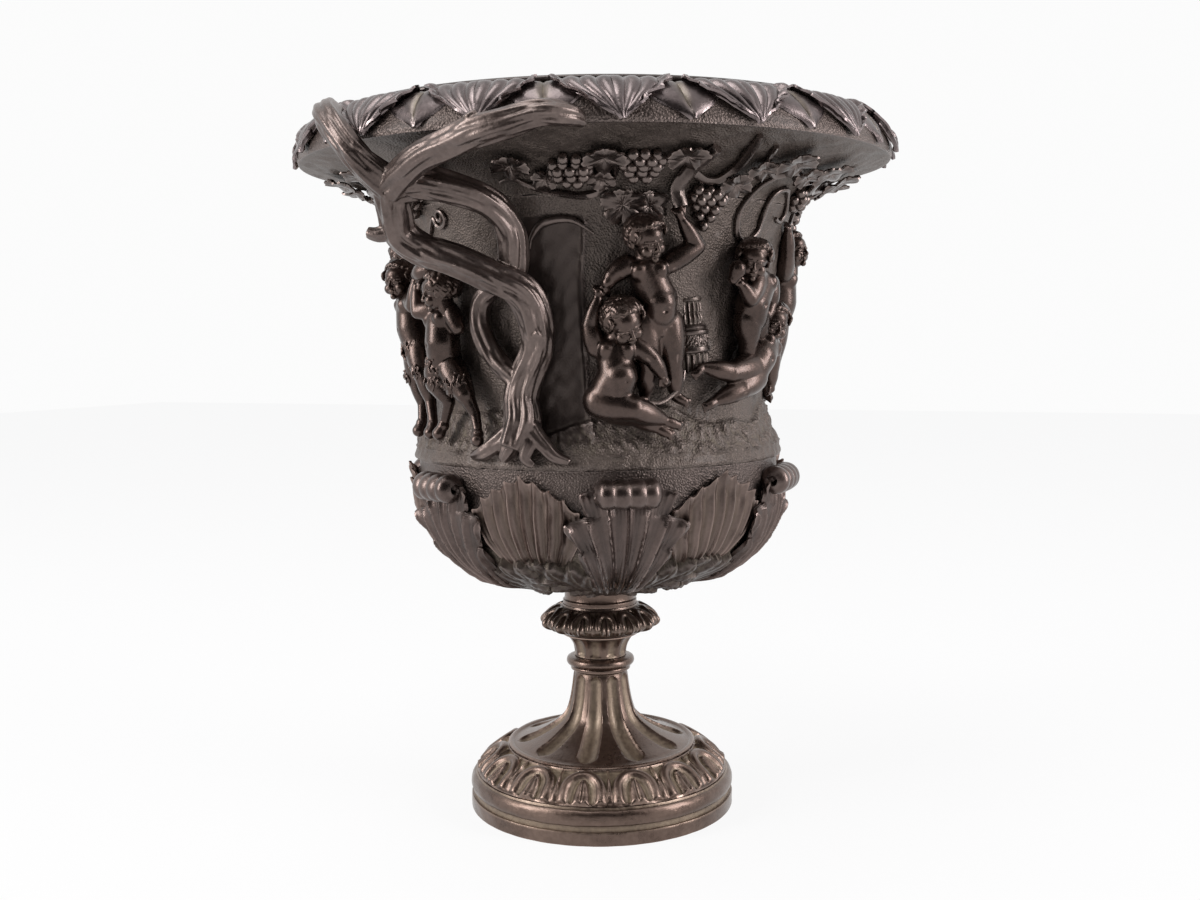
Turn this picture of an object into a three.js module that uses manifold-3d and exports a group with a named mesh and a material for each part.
// Campana vase in dark patinated bronze, about 340 mm high. Millimetres, +Z up, the origin at the
// middle of the foot's underside, the two branch handles on the left (-X) and the right (+X).
// A bearing is an angle about +Z in degrees: 0 faces -Y, -90 faces -X, 90 faces +X.

import * as THREE from 'three';
import { mergeVertices } from 'three/addons/utils/BufferGeometryUtils.js';
import Module from 'manifold-3d';

const wasm = await Module();
wasm.setup();

// Driving dimensions
const footRadius = 66.6;
const footBandHeight = 6.3;
const mouldingFoot = 17.8;
const domeFoot = 30.0;
const collarFoot = 68.2;
const flareFoot = 75.3;
const knopFoot = 87.3;
const sleeveFoot = 102.1;
const bowlFoot = 112.2;
const wallFoot = 178.0;
const rimFoot = 296.6;
const rimRadius = 144.5;
const lipRadius = 127.5;
const vaseHeight = 340.0;
const shellThickness = 4.0;
const clearance = 0.35;
const rodRadius = 4.2;
const boreRadius = 4.6;
const fluteCount = 10;
const fluteTurn = 5;
const knopLeafCount = 14;
const rimLeafCount = 16;
const rimLeafTurn = 4.5;
const bowlLeafCount = 6;
const branchRadius = 5.8;
const roundSides = 36;

// The profiles run up the outside, as [radius, height]
const bowlProfile = [
  [26, bowlFoot], [45, 116.4], [62, 124.2], [77.5, 136], [85, 147.8], [88.8, 158], [89, wallFoot - 0.3],
];
const wallProfile = [
  [90.3, wallFoot], [89.8, 185], [84.5, 194], [82.2, 204], [83.2, 228], [86.8, 254], [92, 281],
  [96.6, rimFoot - 0.3],
];
const rimProfile = [
  [96.8, rimFoot], [102, 303.5], [112, 306.8], [127, 308.3], [143, 314.5],
  [142.6, 319.5], [139, 327.6], [135.5, 331.4], [130, 335.2],
];
const borderProfile = [
  [144.4, 314.9], [rimRadius, 319], [143.6, 324.6], [139, 331], [131, 337],
];

const radians = (degrees) => THREE.MathUtils.degToRad(degrees);

// Linear reading of a profile: the radius at a height
function radiusAt(profile, height) {
  const after = profile.findIndex((point) => point[1] >= height);
  if (after < 0) return profile[profile.length - 1][0];
  if (after === 0) return profile[0][0];
  const [r0, z0] = profile[after - 1];
  const [r1, z1] = profile[after];
  return THREE.MathUtils.mapLinear(height, z0, z1, r0, r1);
}

function onBearing(bearing, radius, height) {
  const angle = radians(bearing);
  return new THREE.Vector3(radius * Math.sin(angle), -radius * Math.cos(angle), height);
}

// A point that stands proud of the wall by a distance
function onWall([bearing, height, proud]) {
  return onBearing(bearing, radiusAt([...wallProfile, ...rimProfile.slice(0, 4)], height) + proud, height);
}

// Turns a mesh whose faces point inwards the right way round
function facingOut(geometry) {
  const index = geometry.index.array;
  const place = geometry.attributes.position;
  const corner = [0, 1, 2].map(() => new THREE.Vector3());
  let volume = 0;
  for (let i = 0; i < index.length; i += 3) {
    corner.forEach((point, k) => point.fromBufferAttribute(place, index[i + k]));
    volume += corner[0].dot(corner[1].cross(corner[2]));
  }
  if (volume < 0) {
    for (let i = 0; i < index.length; i += 3) {
      [index[i], index[i + 1]] = [index[i + 1], index[i]];
    }
  }
  return geometry;
}

function welded(geometry) {
  geometry.deleteAttribute('normal');
  geometry.deleteAttribute('uv');
  return facingOut(mergeVertices(geometry, 1e-4));
}

function solidOf(geometry) {
  const mesh = welded(geometry);
  return new wasm.Manifold(new wasm.Mesh({
    numProp: 3,
    vertProperties: mesh.attributes.position.array,
    triVerts: mesh.index.array,
  }));
}

function geometryOf(solid) {
  const mesh = solid.getMesh();
  const geometry = new THREE.BufferGeometry();
  geometry.setAttribute('position', new THREE.BufferAttribute(new Float32Array(mesh.vertProperties), 3));
  geometry.setIndex(new THREE.BufferAttribute(new Uint32Array(mesh.triVerts), 1));
  geometry.computeVertexNormals();
  return geometry;
}

const joined = (solids) => solids.reduce((whole, part) => whole.add(part));

// The main body of a solid that a neighbour in front of it has cut through
const mainBody = (solid) => solid.decompose().sort((a, b) => b.volume() - a.volume())[0];

// A turned piece. shape(k, bearing) can give point k of the outline another radius on a bearing
function turned(outline, segments, shape) {
  const points = outline.map(([radius, height]) => new THREE.Vector2(radius, height));
  const geometry = new THREE.LatheGeometry(points, segments);
  geometry.rotateX(Math.PI / 2);
  const place = geometry.attributes.position;
  for (let i = 0; shape && i < place.count; i += 1) {
    const x = place.getX(i);
    const y = place.getY(i);
    const bearing = THREE.MathUtils.radToDeg(Math.atan2(x, -y));
    const scale = shape(i % points.length, bearing) / Math.hypot(x, y);
    place.setXY(i, x * scale, y * scale);
  }
  return welded(geometry);
}

// Closes an outline that has run up the outside, down the inside
const withInside = (outside, inside) => [...outside, ...inside, outside[0]];

// Group and materials
const group = new THREE.Group();

function bronze(color, roughness) {
  return new THREE.MeshStandardMaterial({ color, roughness, metalness: 0.85 });
}

function piece(name, geometry, color = 0x33261f, roughness = 0.45) {
  const mesh = new THREE.Mesh(geometry, bronze(color, roughness));
  mesh.name = name;
  group.add(mesh);
  return mesh;
}

// Foot: a turned ring with a band, a groove and a torus
const footWall = 10;
piece('foot_ring', turned(withInside(
  [
    [footRadius, 0], [footRadius, footBandHeight], [65.4, 7.2], [65.4, 9], [66.2, 10.6],
    [66.5, 13], [65.8, 15.6], [64, mouldingFoot - 0.3],
  ],
  [[footRadius - footWall, mouldingFoot - 0.3], [footRadius - footWall, 0]],
), roundSides), 0x46352a, 0.35);

// Sloping ring that carries the leaf and tongue moulding
const spigotRadius = 43.1;
piece('leaf_moulding', turned(withInside(
  [[62.8, mouldingFoot], [56, 24.4], [47.7, domeFoot]],
  [[spigotRadius + clearance, domeFoot], [spigotRadius + clearance, 26], [56.6, mouldingFoot]],
), roundSides), 0x4a392c, 0.4);

// Domed foot and stem with round ended concave flutes, bored for the tie rod
const stemProfile = [
  [47.4, domeFoot + 0.3], [42, 31.3], [38.5, 32.3], [33, 34.4], [27, 37.4], [21, 41], [17.4, 45.4],
  [15.2, 52], [13, 67.9],
];
const stemInside = [
  [boreRadius, 67.9], [boreRadius, 36], [11, 36], [30, 30.4], [spigotRadius, 27.4],
  [spigotRadius, domeFoot + 0.3],
];

// How deep a flute is on a bearing: a shallow bowl across its width, nothing on the lands
function fluteDepth(bearing, width, depth) {
  const pitch = 360 / fluteCount;
  const across = THREE.MathUtils.euclideanModulo(bearing + fluteTurn + pitch / 2, pitch) - pitch / 2;
  const share = Math.min(1, Math.abs(across) / (width / 2));
  return depth * (1 - share * share);
}
const stemFlute = (k, bearing) => {
  const radius = [...stemProfile, ...stemInside, stemProfile[0]][k][0];
  const fluted = k > 2 && k < stemProfile.length;
  const width = THREE.MathUtils.mapLinear(radius, 13, 37.5, 24, 16);
  const depth = THREE.MathUtils.mapLinear(radius, 13, 37.5, 1.4, 2.6);
  return fluted ? radius - fluteDepth(bearing, width, depth) : radius;
};
piece('fluted_foot', turned(withInside(stemProfile, stemInside), 5 * fluteCount, stemFlute), 0x46352a, 0.35);

// Collar: a thin ring under a torus
piece('stem_collar', turned(withInside(
  [
    [15.1, collarFoot], [15.1, 69.8], [16.6, 70.6], [17.1, 72.5], [16.6, 74.3],
    [13.2, flareFoot - 0.3],
  ],
  [[boreRadius, flareFoot - 0.3], [boreRadius, collarFoot]],
), 28), 0x46352a, 0.35);

// Short fluted flare under the knop
const flareProfile = [[13.2, flareFoot], [13.4, 78.5], [14.6, 82.4], [18.6, knopFoot - 0.3]];
const flareInside = [[boreRadius, knopFoot - 0.3], [boreRadius, flareFoot]];
piece('stem_flare', turned(
  withInside(flareProfile, flareInside),
  4 * fluteCount,
  (k, bearing) => {
    const radius = [...flareProfile, ...flareInside, flareProfile[0]][k][0];
    return k === 1 || k === 2 ? radius - fluteDepth(bearing, 24, 1.3) : radius;
  },
), 0x3f3026, 0.4);

// Knop with a ring of egg and leaf lobes, widest just over its underside
const knopProfile = [
  [18.8, knopFoot], [22.4, 89.4], [28.2, 91.4], [29.6, 93.2], [28.2, 95.6], [24.6, 98.8],
  [18.9, sleeveFoot - 0.3],
];
const knopInside = [[boreRadius, sleeveFoot - 0.3], [boreRadius, knopFoot]];
piece('leaf_knop', turned(
  withInside(knopProfile, knopInside),
  2 * knopLeafCount,
  (k, bearing) => {
    const radius = [...knopProfile, ...knopInside, knopProfile[0]][k][0];
    const lobe = Math.cos(radians(bearing * knopLeafCount));
    return k > 1 && k < 6 ? radius - 0.6 + 0.6 * lobe : radius;
  },
), 0x3a2c23, 0.4);

piece('neck_sleeve', turned(withInside(
  [[18.7, sleeveFoot], [18.7, bowlFoot - 0.3]],
  [[boreRadius, bowlFoot - 0.3], [boreRadius, sleeveFoot]],
), 28), 0x3f3026, 0.35);

// Lower bowl: a cast shell with a thick bored bottom
const bowlFloor = 117.2;
piece('lower_bowl', turned(withInside(
  bowlProfile,
  [
    [89 - shellThickness, wallFoot - 0.3], [84.8, 158], [78, 144.6], [67, 132.6], [40, 119.6],
    [24, bowlFloor], [boreRadius, bowlFloor], [boreRadius, bowlFoot],
  ],
), roundSides), 0x33261f, 0.5);

// Body wall: the tall cast shell that carries the relief
piece('body_wall', turned(withInside(
  wallProfile,
  [
    [92, rimFoot - 0.3], [82.8, 254], [78.2, 220], [78.6, 200], [84.6, 189], [85.6, wallFoot],
  ],
), roundSides), 0x31251f, 0.5);

// Rim: the flared cornice, hollow inside like the wall
piece('rim_cornice', turned(withInside(
  rimProfile,
  [[123.5, 336.4], [117.5, 332], [108, 320], [98.6, 309.6], [92.4, rimFoot]],
), roundSides), 0x31251f, 0.5);

// Leaf border: a thin ring on the rim whose lower edge runs in leaf points
const borderInside = [[129.6, 336.1], [139.3, 328.6], [143.2, 318.6], [143.2, 314.9]];
const borderGeometry = turned(withInside(borderProfile, borderInside), 4 * rimLeafCount);
const borderPlaces = borderGeometry.attributes.position;
for (let i = 0; i < borderPlaces.count; i += 1) {
  const x = borderPlaces.getX(i);
  const y = borderPlaces.getY(i);
  const height = borderPlaces.getZ(i);
  const turn = Math.round(THREE.MathUtils.radToDeg(Math.atan2(x, -y)) * (4 * rimLeafCount) / 360);
  if (height < 320 && turn % 2 !== 0) {
    borderPlaces.setZ(i, height + 4.5);
    const scale = (height > 318 ? -0.6 : -0.15) / Math.hypot(x, y) + 1;
    borderPlaces.setXY(i, x * scale, y * scale);
  }
}
const leafBorder = piece('leaf_border', borderGeometry, 0x3a2c24, 0.35);
leafBorder.rotation.z = radians(rimLeafTurn);

piece('lip_ring', turned(withInside(
  [[lipRadius, 337.4], [lipRadius + 0.4, 338.6], [lipRadius - 0.6, vaseHeight]],
  [[122.6, vaseHeight], [122, 338.6], [122.6, 337.4]],
), roundSides), 0x2a201c, 0.5);

const polygon = (sides, radius) => new THREE.Shape(Array.from({ length: sides }, (_, k) => {
  const angle = (k / sides) * 2 * Math.PI;
  return new THREE.Vector2(radius * Math.cos(angle), radius * Math.sin(angle));
}));

// Tie rod through the stem, with a washer and a hexagon nut at each end
const rodLength = 102;
const rodMiddle = 77;
const rodGeometry = new THREE.CylinderGeometry(rodRadius, rodRadius, rodLength, 20);
rodGeometry.rotateX(Math.PI / 2);
rodGeometry.translate(0, 0, rodMiddle);
piece('tie_rod', rodGeometry, 0x8a7a55, 0.5);

const fittingGap = 0.3;
const washerThickness = 1.4;
const nutHeight = 6;
const nutCornerRadius = 8.6;
function washer(name, height, radius) {
  piece(name, turned(withInside(
    [[radius, height], [radius, height + washerThickness]],
    [[boreRadius, height + washerThickness], [boreRadius, height]],
  ), 24), 0x7a6a48, 0.5);
}

function hexagonNut(name, height) {
  const outline = polygon(6, nutCornerRadius);
  outline.holes.push(new THREE.Path().absarc(0, 0, boreRadius, 0, 2 * Math.PI, true));
  const geometry = new THREE.ExtrudeGeometry(outline, {
    depth: nutHeight, bevelEnabled: false, curveSegments: 10,
  });
  geometry.translate(0, 0, height);
  piece(name, geometry, 0x7a6a48, 0.5);
}
const stemBoreFoot = 36;
washer('foot_washer', stemBoreFoot - fittingGap - washerThickness, 10.4);
hexagonNut('foot_nut', stemBoreFoot - 2 * fittingGap - washerThickness - nutHeight);
washer('bowl_washer', bowlFloor + fittingGap, 12);
hexagonNut('bowl_nut', bowlFloor + 2 * fittingGap + washerThickness);

// The space that the bowl, wall and rim fill, grown by the clearance, cuts what is set on them
const borderPitchAllowance = 0.6;
const coreProfile = [
  ...bowlProfile.slice(0, -1), [89.2, 176], ...wallProfile, ...rimProfile.slice(0, 4),
  ...borderProfile.map(([radius, height]) => [radius + borderPitchAllowance, height]),
  [lipRadius + 0.4, 338], [lipRadius, vaseHeight],
];
const coreOutline = [
  [0, bowlFoot - 3],
  ...coreProfile.map(([radius, height]) => [radius + clearance, height]),
  [0, vaseHeight + 3],
];
const core = solidOf(turned(coreOutline, roundSides));

// A closed slab between two faces of a grid. face(u, v, side) gives a point for u and v in 0 to 1
function slab(columns, rows, face) {
  const places = [];
  const triangles = [];
  const width = columns + 1;
  const layer = width * (rows + 1);
  for (const side of [0, 1]) {
    for (let row = 0; row <= rows; row += 1) {
      for (let column = 0; column <= columns; column += 1) {
        places.push(...face(column / columns, row / rows, side).toArray());
      }
    }
  }
  const quad = (a, b, c, d) => triangles.push(a, b, c, a, c, d);
  for (let row = 0; row < rows; row += 1) {
    for (let column = 0; column < columns; column += 1) {
      const low = row * width + column;
      const high = low + width;
      quad(low, low + 1, high + 1, high);
      quad(layer + low + 1, layer + low, layer + high, layer + high + 1);
    }
    const left = row * width;
    const right = left + columns;
    quad(left + layer, left, left + width, left + width + layer);
    quad(right, right + layer, right + width + layer, right + width);
  }
  for (let column = 0; column < columns; column += 1) {
    const top = rows * width + column;
    quad(column, column + layer, column + 1 + layer, column + 1);
    quad(top + layer, top, top + 1, top + 1 + layer);
  }
  const geometry = new THREE.BufferGeometry();
  geometry.setAttribute('position', new THREE.Float32BufferAttribute(places, 3));
  geometry.setIndex(triangles);
  return facingOut(geometry);
}

// Acanthus leaf: a tongue up the bowl that curls over outwards into a scroll
const scrollCentre = [95.6, 166.4];
const scrollRadius = 7;
function leafSpine() {
  const points = bowlProfile.slice(1, -1).map(([radius, height]) => new THREE.Vector2(radius + 2, height));
  for (let turn = 170; turn >= -120; turn -= 48) {
    const angle = radians(turn);
    points.push(new THREE.Vector2(
      scrollCentre[0] + scrollRadius * Math.cos(angle),
      scrollCentre[1] + scrollRadius * Math.sin(angle),
    ));
  }
  return new THREE.SplineCurve(points);
}
const spine = leafSpine();
function acanthus(u, v, side) {
  const point = spine.getPoint(v);
  const along = spine.getTangent(v);
  const thick = side ? 1.1 : -1.1;
  const halfWidth = v < 0.7 ? 6 + 14 * Math.sin(Math.PI * Math.min(1, v / 0.8)) : 12;
  const radius = point.x + along.y * thick;
  const sideways = halfWidth * (2 * u - 1);
  return new THREE.Vector3(sideways, -radius, point.y - along.x * thick);
}

// Shell leaf: a ribbed fan whose top runs up to a point at the moulding
const shellFoot = 132;
function shell(u, v, side) {
  const sideways = 2 * u - 1;
  const top = 174.5 - 16 * sideways * sideways;
  const height = THREE.MathUtils.lerp(shellFoot, top, v);
  const spread = THREE.MathUtils.lerp(4, 23, Math.sqrt(v));
  const radius = radiusAt(bowlProfile, height) + (side ? 2.6 : -1);
  return new THREE.Vector3(sideways * spread, -Math.sqrt(radius * radius - (sideways * spread) ** 2), height);
}
const leafTurn = 360 / bowlLeafCount;
const acanthusSolid = solidOf(slab(2, 10, acanthus)).subtract(core);
const acanthusGrown = solidOf(slab(2, 10, (u, v, side) => {
  const point = acanthus(u, v, side);
  point.x *= 1.05;
  point.y -= side ? 0.5 : -0.5;
  return point;
}));
const neighbour = acanthusGrown.rotate([0, 0, leafTurn / 2]).add(acanthusGrown.rotate([0, 0, -leafTurn / 2]));
const shellSolid = solidOf(slab(6, 3, shell)).subtract(core).subtract(neighbour);
for (let k = 0; k < bowlLeafCount; k += 1) {
  piece(`acanthus_leaf_${k + 1}`, geometryOf(acanthusSolid)).rotation.z = radians(k * leafTurn);
  piece(`shell_leaf_${k + 1}`, geometryOf(shellSolid)).rotation.z = radians((k + 0.5) * leafTurn);
}

// Handles: vine branches, as [bearing, height, radius from the axis]
const fork = [-104, 299, 137];
const branches = [
  [branchRadius, [[-119, 326, 136], [-118.5, 332, 142], [-115, 329.5, 149], [-109.5, 319.5, 151],
    [-106.4, 309, 147.5], fork]],
  [branchRadius, [[-66, 314, 140], [-67.5, 320, 148], [-73, 320.5, 150.5], [-82, 316.5, 150],
    [-92, 310.5, 145], [-99, 304, 141], fork]],
  [branchRadius + 0.6, [fork, [-98, 300, 131], [-92.3, 296.4, 121], [-88.4, 290.5, 110], [-86.6, 281, 101.5],
    [-87, 268, 98], [-88.4, 261, 97]]],
  [branchRadius + 0.8, [fork, [-105.6, 290, 132], [-107, 281, 126], [-104.5, 274.5, 119],
    [-98, 269, 112.5], [-91, 262.8, 106.5], [-84.6, 255.5, 100.5], [-81.9, 245, 95.5], [-82.2, 233, 92.5],
    [-85.4, 221, 90.5], [-87.8, 210, 89.5], [-87.4, 199, 91], [-89.4, 188, 94]]],
  [4.6, [[-91, 261, 95], [-98.6, 253, 92.5], [-99.8, 240, 91.5], [-95.4, 227, 90.5], [-89.5, 219, 90]]],
  [3.6, [[-87, 202, 90], [-82.6, 193, 93], [-76.5, 186, 93.5], [-71, 183.5, 92]]],
  [3.4, [[-88, 200, 90], [-93.4, 191, 93.5], [-99, 185, 93.5], [-103, 183.5, 92]]],
];
const branchSides = 6;

function branch(radius, sides, places) {
  const path = new THREE.CatmullRomCurve3(
    places.map(([bearing, height, out]) => onBearing(bearing, out, height)),
  );
  const geometry = new THREE.ExtrudeGeometry(polygon(sides, radius), {
    steps: Math.round(1.25 * places.length),
    extrudePath: path,
  });
  return solidOf(geometry);
}
const handleSolid = (grow) => joined(
  branches.map(([radius, places]) => branch(radius + grow, branchSides, places)),
);
const leftHandle = handleSolid(0).subtract(core);
const handleSpace = handleSolid(clearance);

// A tapering limb with round ends between two points
function limb([a, b, radiusA, radiusB]) {
  const start = onWall(a);
  const end = onWall(b);
  const length = start.distanceTo(end);
  const outline = [
    [0, -radiusA * 0.9], [radiusA, -radiusA * 0.3], [radiusB, length + radiusB * 0.3],
    [0, length + radiusB * 0.9],
  ];
  const sides = radiusA > 6 ? 6 : 5;
  const geometry = new THREE.LatheGeometry(outline.map((point) => new THREE.Vector2(...point)), sides);
  const upright = new THREE.Vector3(0, 1, 0);
  geometry.applyQuaternion(new THREE.Quaternion().setFromUnitVectors(upright, end.sub(start).normalize()));
  geometry.translate(...start.toArray());
  return solidOf(geometry);
}

// Children at the vintage, as limbs from [bearing, height, proud] to the same, with two radii
const figures = {
  seated_child: [
    [[-59, 246, 12], [-58.6, 242, 12], 9.5, 9], [[-61.3, 230, 9], [-60.6, 219, 10], 9, 10.5],
    [[-60.6, 219, 10], [-65.3, 209, 8], 10.5, 9.5], [[-66.5, 231, 8], [-67.5, 241, 8], 4.4, 4],
    [[-67.5, 241, 8], [-65.4, 254, 9], 4, 3.4], [[-55.5, 232.5, 9], [-51.6, 227, 12], 4.4, 4],
    [[-51.6, 227, 12], [-48.8, 219, 12], 4, 3.2], [[-64, 207, 9], [-56.8, 205, 13], 8, 6.4],
    [[-56.8, 205, 13], [-48.2, 199.3, 9], 5.8, 3.6], [[-48.2, 199.3, 9], [-44.8, 198.3, 8], 3.4, 2.8],
  ],
  standing_child: [
    [[-54.5, 280.5, 8], [-53.6, 276.5, 8], 9.5, 9], [[-53, 263, 7], [-50, 251, 8], 9.5, 10],
    [[-50, 251, 8], [-50, 243, 6], 10, 9.5], [[-59, 267, 6], [-62, 260, 7], 5, 4],
    [[-46.5, 267.7, 6], [-39.4, 275, 6], 5, 4.2], [[-39.4, 275, 6], [-45, 287, 6], 4.2, 3.2],
    [[-46, 241, 6], [-44.9, 223, 7], 7.5, 5.4], [[-54, 241, 6], [-51.9, 223, 7], 7.5, 5.4],
    [[-44.9, 223, 7], [-42.8, 209, 5], 5, 3.2],
  ],
  lying_child: [
    [[-6.2, 242.5, 8], [-6.6, 239, 8], 8, 7.6], [[-8, 232, 7], [-15, 222, 8], 7.6, 8.6],
    [[-15, 222, 8], [-26.3, 219.4, 8], 7, 4.8], [[-26.3, 219.4, 8], [-36.8, 222, 5.6], 4.8, 3],
    [[-14, 218, 8], [-21.7, 212, 9], 6.4, 5], [[-21.7, 212, 9], [-33, 205.4, 6.4], 4.8, 3],
    [[-5, 230, 7], [-1.7, 218, 6], 4.4, 3.8], [[-1.7, 218, 6], [-0.1, 211, 6], 3.8, 3],
  ],
  drinking_child: [
    [[-20.8, 271, 8], [-21, 267.4, 8], 8.4, 8], [[-18.5, 259, 6], [-20, 248, 7], 8, 8.6],
    [[-22.2, 252, 10], [-25.8, 259, 10], 3.8, 3.2], [[-11, 260, 6], [-12, 250, 7], 4.4, 3.8],
    [[-19, 244, 6], [-17.6, 231.7, 6], 7.6, 5], [[-17.6, 231.7, 6], [-16.1, 221, 5], 4.6, 3],
  ],
  reaching_child: [
    [[19.4, 279.5, 8], [20, 276, 8], 8.6, 8], [[21.4, 263, 6], [22.4, 247, 5], 8.4, 8.6],
    [[16, 266, 6], [10.4, 274, 6], 4.4, 4], [[10.4, 274, 6], [6, 287, 5], 4, 3.2],
    [[20, 242, 4], [18.4, 226, 4], 7, 5], [[18.4, 226, 4], [19, 206, 4], 4.8, 3],
    [[25, 242, 4], [26.4, 225, 4], 7, 5], [[26.4, 225, 4], [28, 205, 4], 4.8, 3],
  ],
  leaning_child: [
    [[43, 266, 6], [43.4, 263, 6], 8.2, 7.8], [[45, 251, 5], [48, 237, 5], 8, 8.4],
    [[50, 254, 6], [55, 263, 7], 4.2, 3.2], [[48, 233, 5], [51.4, 218.5, 6], 7, 5],
    [[51.4, 218.5, 6], [54.4, 205, 5], 4.8, 2.8], [[54.4, 205, 5], [56.2, 192, 5], 2.8, 3],
    [[45, 232, 5], [44, 215, 5], 6.6, 4.6], [[44, 215, 5], [46, 192, 5], 4.4, 2.8],
  ],
  satyr_child: [
    [[68.6, 260, 9], [68.9, 257, 9], 8.4, 8], [[66.1, 244, 8], [66.2, 233, 9], 8, 8.4],
    [[66.2, 233, 9], [65, 226, 8], 8.4, 8.6], [[65.6, 249, 9], [60.9, 248.8, 12], 4.2, 3.8],
    [[60.9, 248.8, 12], [60.4, 260, 11], 3.8, 3], [[64, 222, 9], [64, 216, 9], 7.6, 6.6],
    [[64, 216, 9], [67, 207, 8], 6.4, 4], [[67, 207, 8], [64, 194, 7], 3.6, 3.2],
    [[68, 221, 8], [74.7, 210, 8], 7.2, 4.4], [[74.7, 210, 8], [78.6, 192, 7], 4, 3.2],
  ],
};
const figureSolid = (limbs, grow) => joined(limbs.map(([a, b, radiusA, radiusB]) => (
  limb([a, b, radiusA + grow, radiusB + grow]))));

// Round pieces of the vintage beside the children: an altar drum, and bunches of grapes
const altar = solidOf(new THREE.CylinderGeometry(8, 8.6, 27, 14).rotateX(Math.PI / 2)
  .translate(...onWall([-35.2, 239.5, -3.4]).toArray()));

const bunches = [[-71, 303, 1], [-56, 301, 1.4], [-34.5, 291, 3.6], [32, 292, 3.4], [56, 302, 1.4]];
function bunch([bearing, height, proud]) {
  const outline = [[0, -8], [3, -6], [5, -2], [7, 2], [6, 5], [0, 7]];
  const geometry = new THREE.LatheGeometry(outline.map((point) => new THREE.Vector2(...point)), 6);
  geometry.rotateX(Math.PI / 2);
  geometry.translate(...onWall([bearing, height - 5, proud]).toArray());
  return solidOf(geometry).add(limb([[bearing, 301, 0.6], [bearing, height - 4, proud], 2.4, 2.4]));
}

// The vine that the bunches hang from runs along under the rim
const vinePlaces = [
  [-80, 297, 1], [-70, 302.5, 1.2], [-56, 303.5, 1.2], [-44, 301, 1.6], [-32, 300, 1.4], [-16, 303, 1.2],
  [0, 300, 1.4], [16, 303.5, 1.2], [32, 300, 1.6], [46, 303.5, 1.2], [62, 301, 1],
];
const vineRadius = 2.4;
const vineStem = branch(vineRadius, 5, vinePlaces.map(([bearing, height, proud]) => {
  const place = onWall([bearing, height, proud]);
  return [bearing, height, Math.hypot(place.x, place.y)];
}));
const vine = joined([vineStem, ...bunches.map(bunch)]);

// Everything on one half of the wall is repeated half a turn round on the other half
const farHandleSpace = handleSpace.rotate([0, 0, 180]);
function bothHalves(name, solid) {
  const trimmed = mainBody(solid.subtract(core).subtract(handleSpace).subtract(farHandleSpace));
  piece(`${name}_front`, geometryOf(trimmed));
  piece(`${name}_back`, geometryOf(trimmed)).rotation.z = Math.PI;
}
let taken = null;
for (const [name, limbs] of Object.entries(figures)) {
  const solid = figureSolid(limbs, 0);
  bothHalves(name, taken ? solid.subtract(taken) : solid);
  const space = figureSolid(limbs, clearance);
  taken = taken ? taken.add(space) : space;
}
bothHalves('altar', altar.subtract(taken));
bothHalves('vine', vine.subtract(taken));
piece('handle_left', geometryOf(leftHandle), 0x3a2b26, 0.4);
piece('handle_right', geometryOf(leftHandle), 0x3a2b26, 0.4).rotation.z = Math.PI;

// Screws from inside the wall that hold each handle: round heads on the wall's inner face
const screwBearing = 4;
const screwHeadRadius = 3.6;
const screwHeadHeight = 2.2;
for (const [side, turn] of [['left', 0], ['right', 180]]) {
  [212, 236, 262].forEach((height, k) => {
    const head = new THREE.CylinderGeometry(screwHeadRadius, screwHeadRadius, screwHeadHeight, 12);
    head.rotateZ(Math.PI / 2);
    head.translate(-(radiusAt(wallProfile, height) - shellThickness - 2.6), 0, height);
    piece(`handle_screw_${side}_${k + 1}`, head, 0x7a6a48, 0.5).rotation.z = radians(screwBearing + turn);
  });
}

export default group;
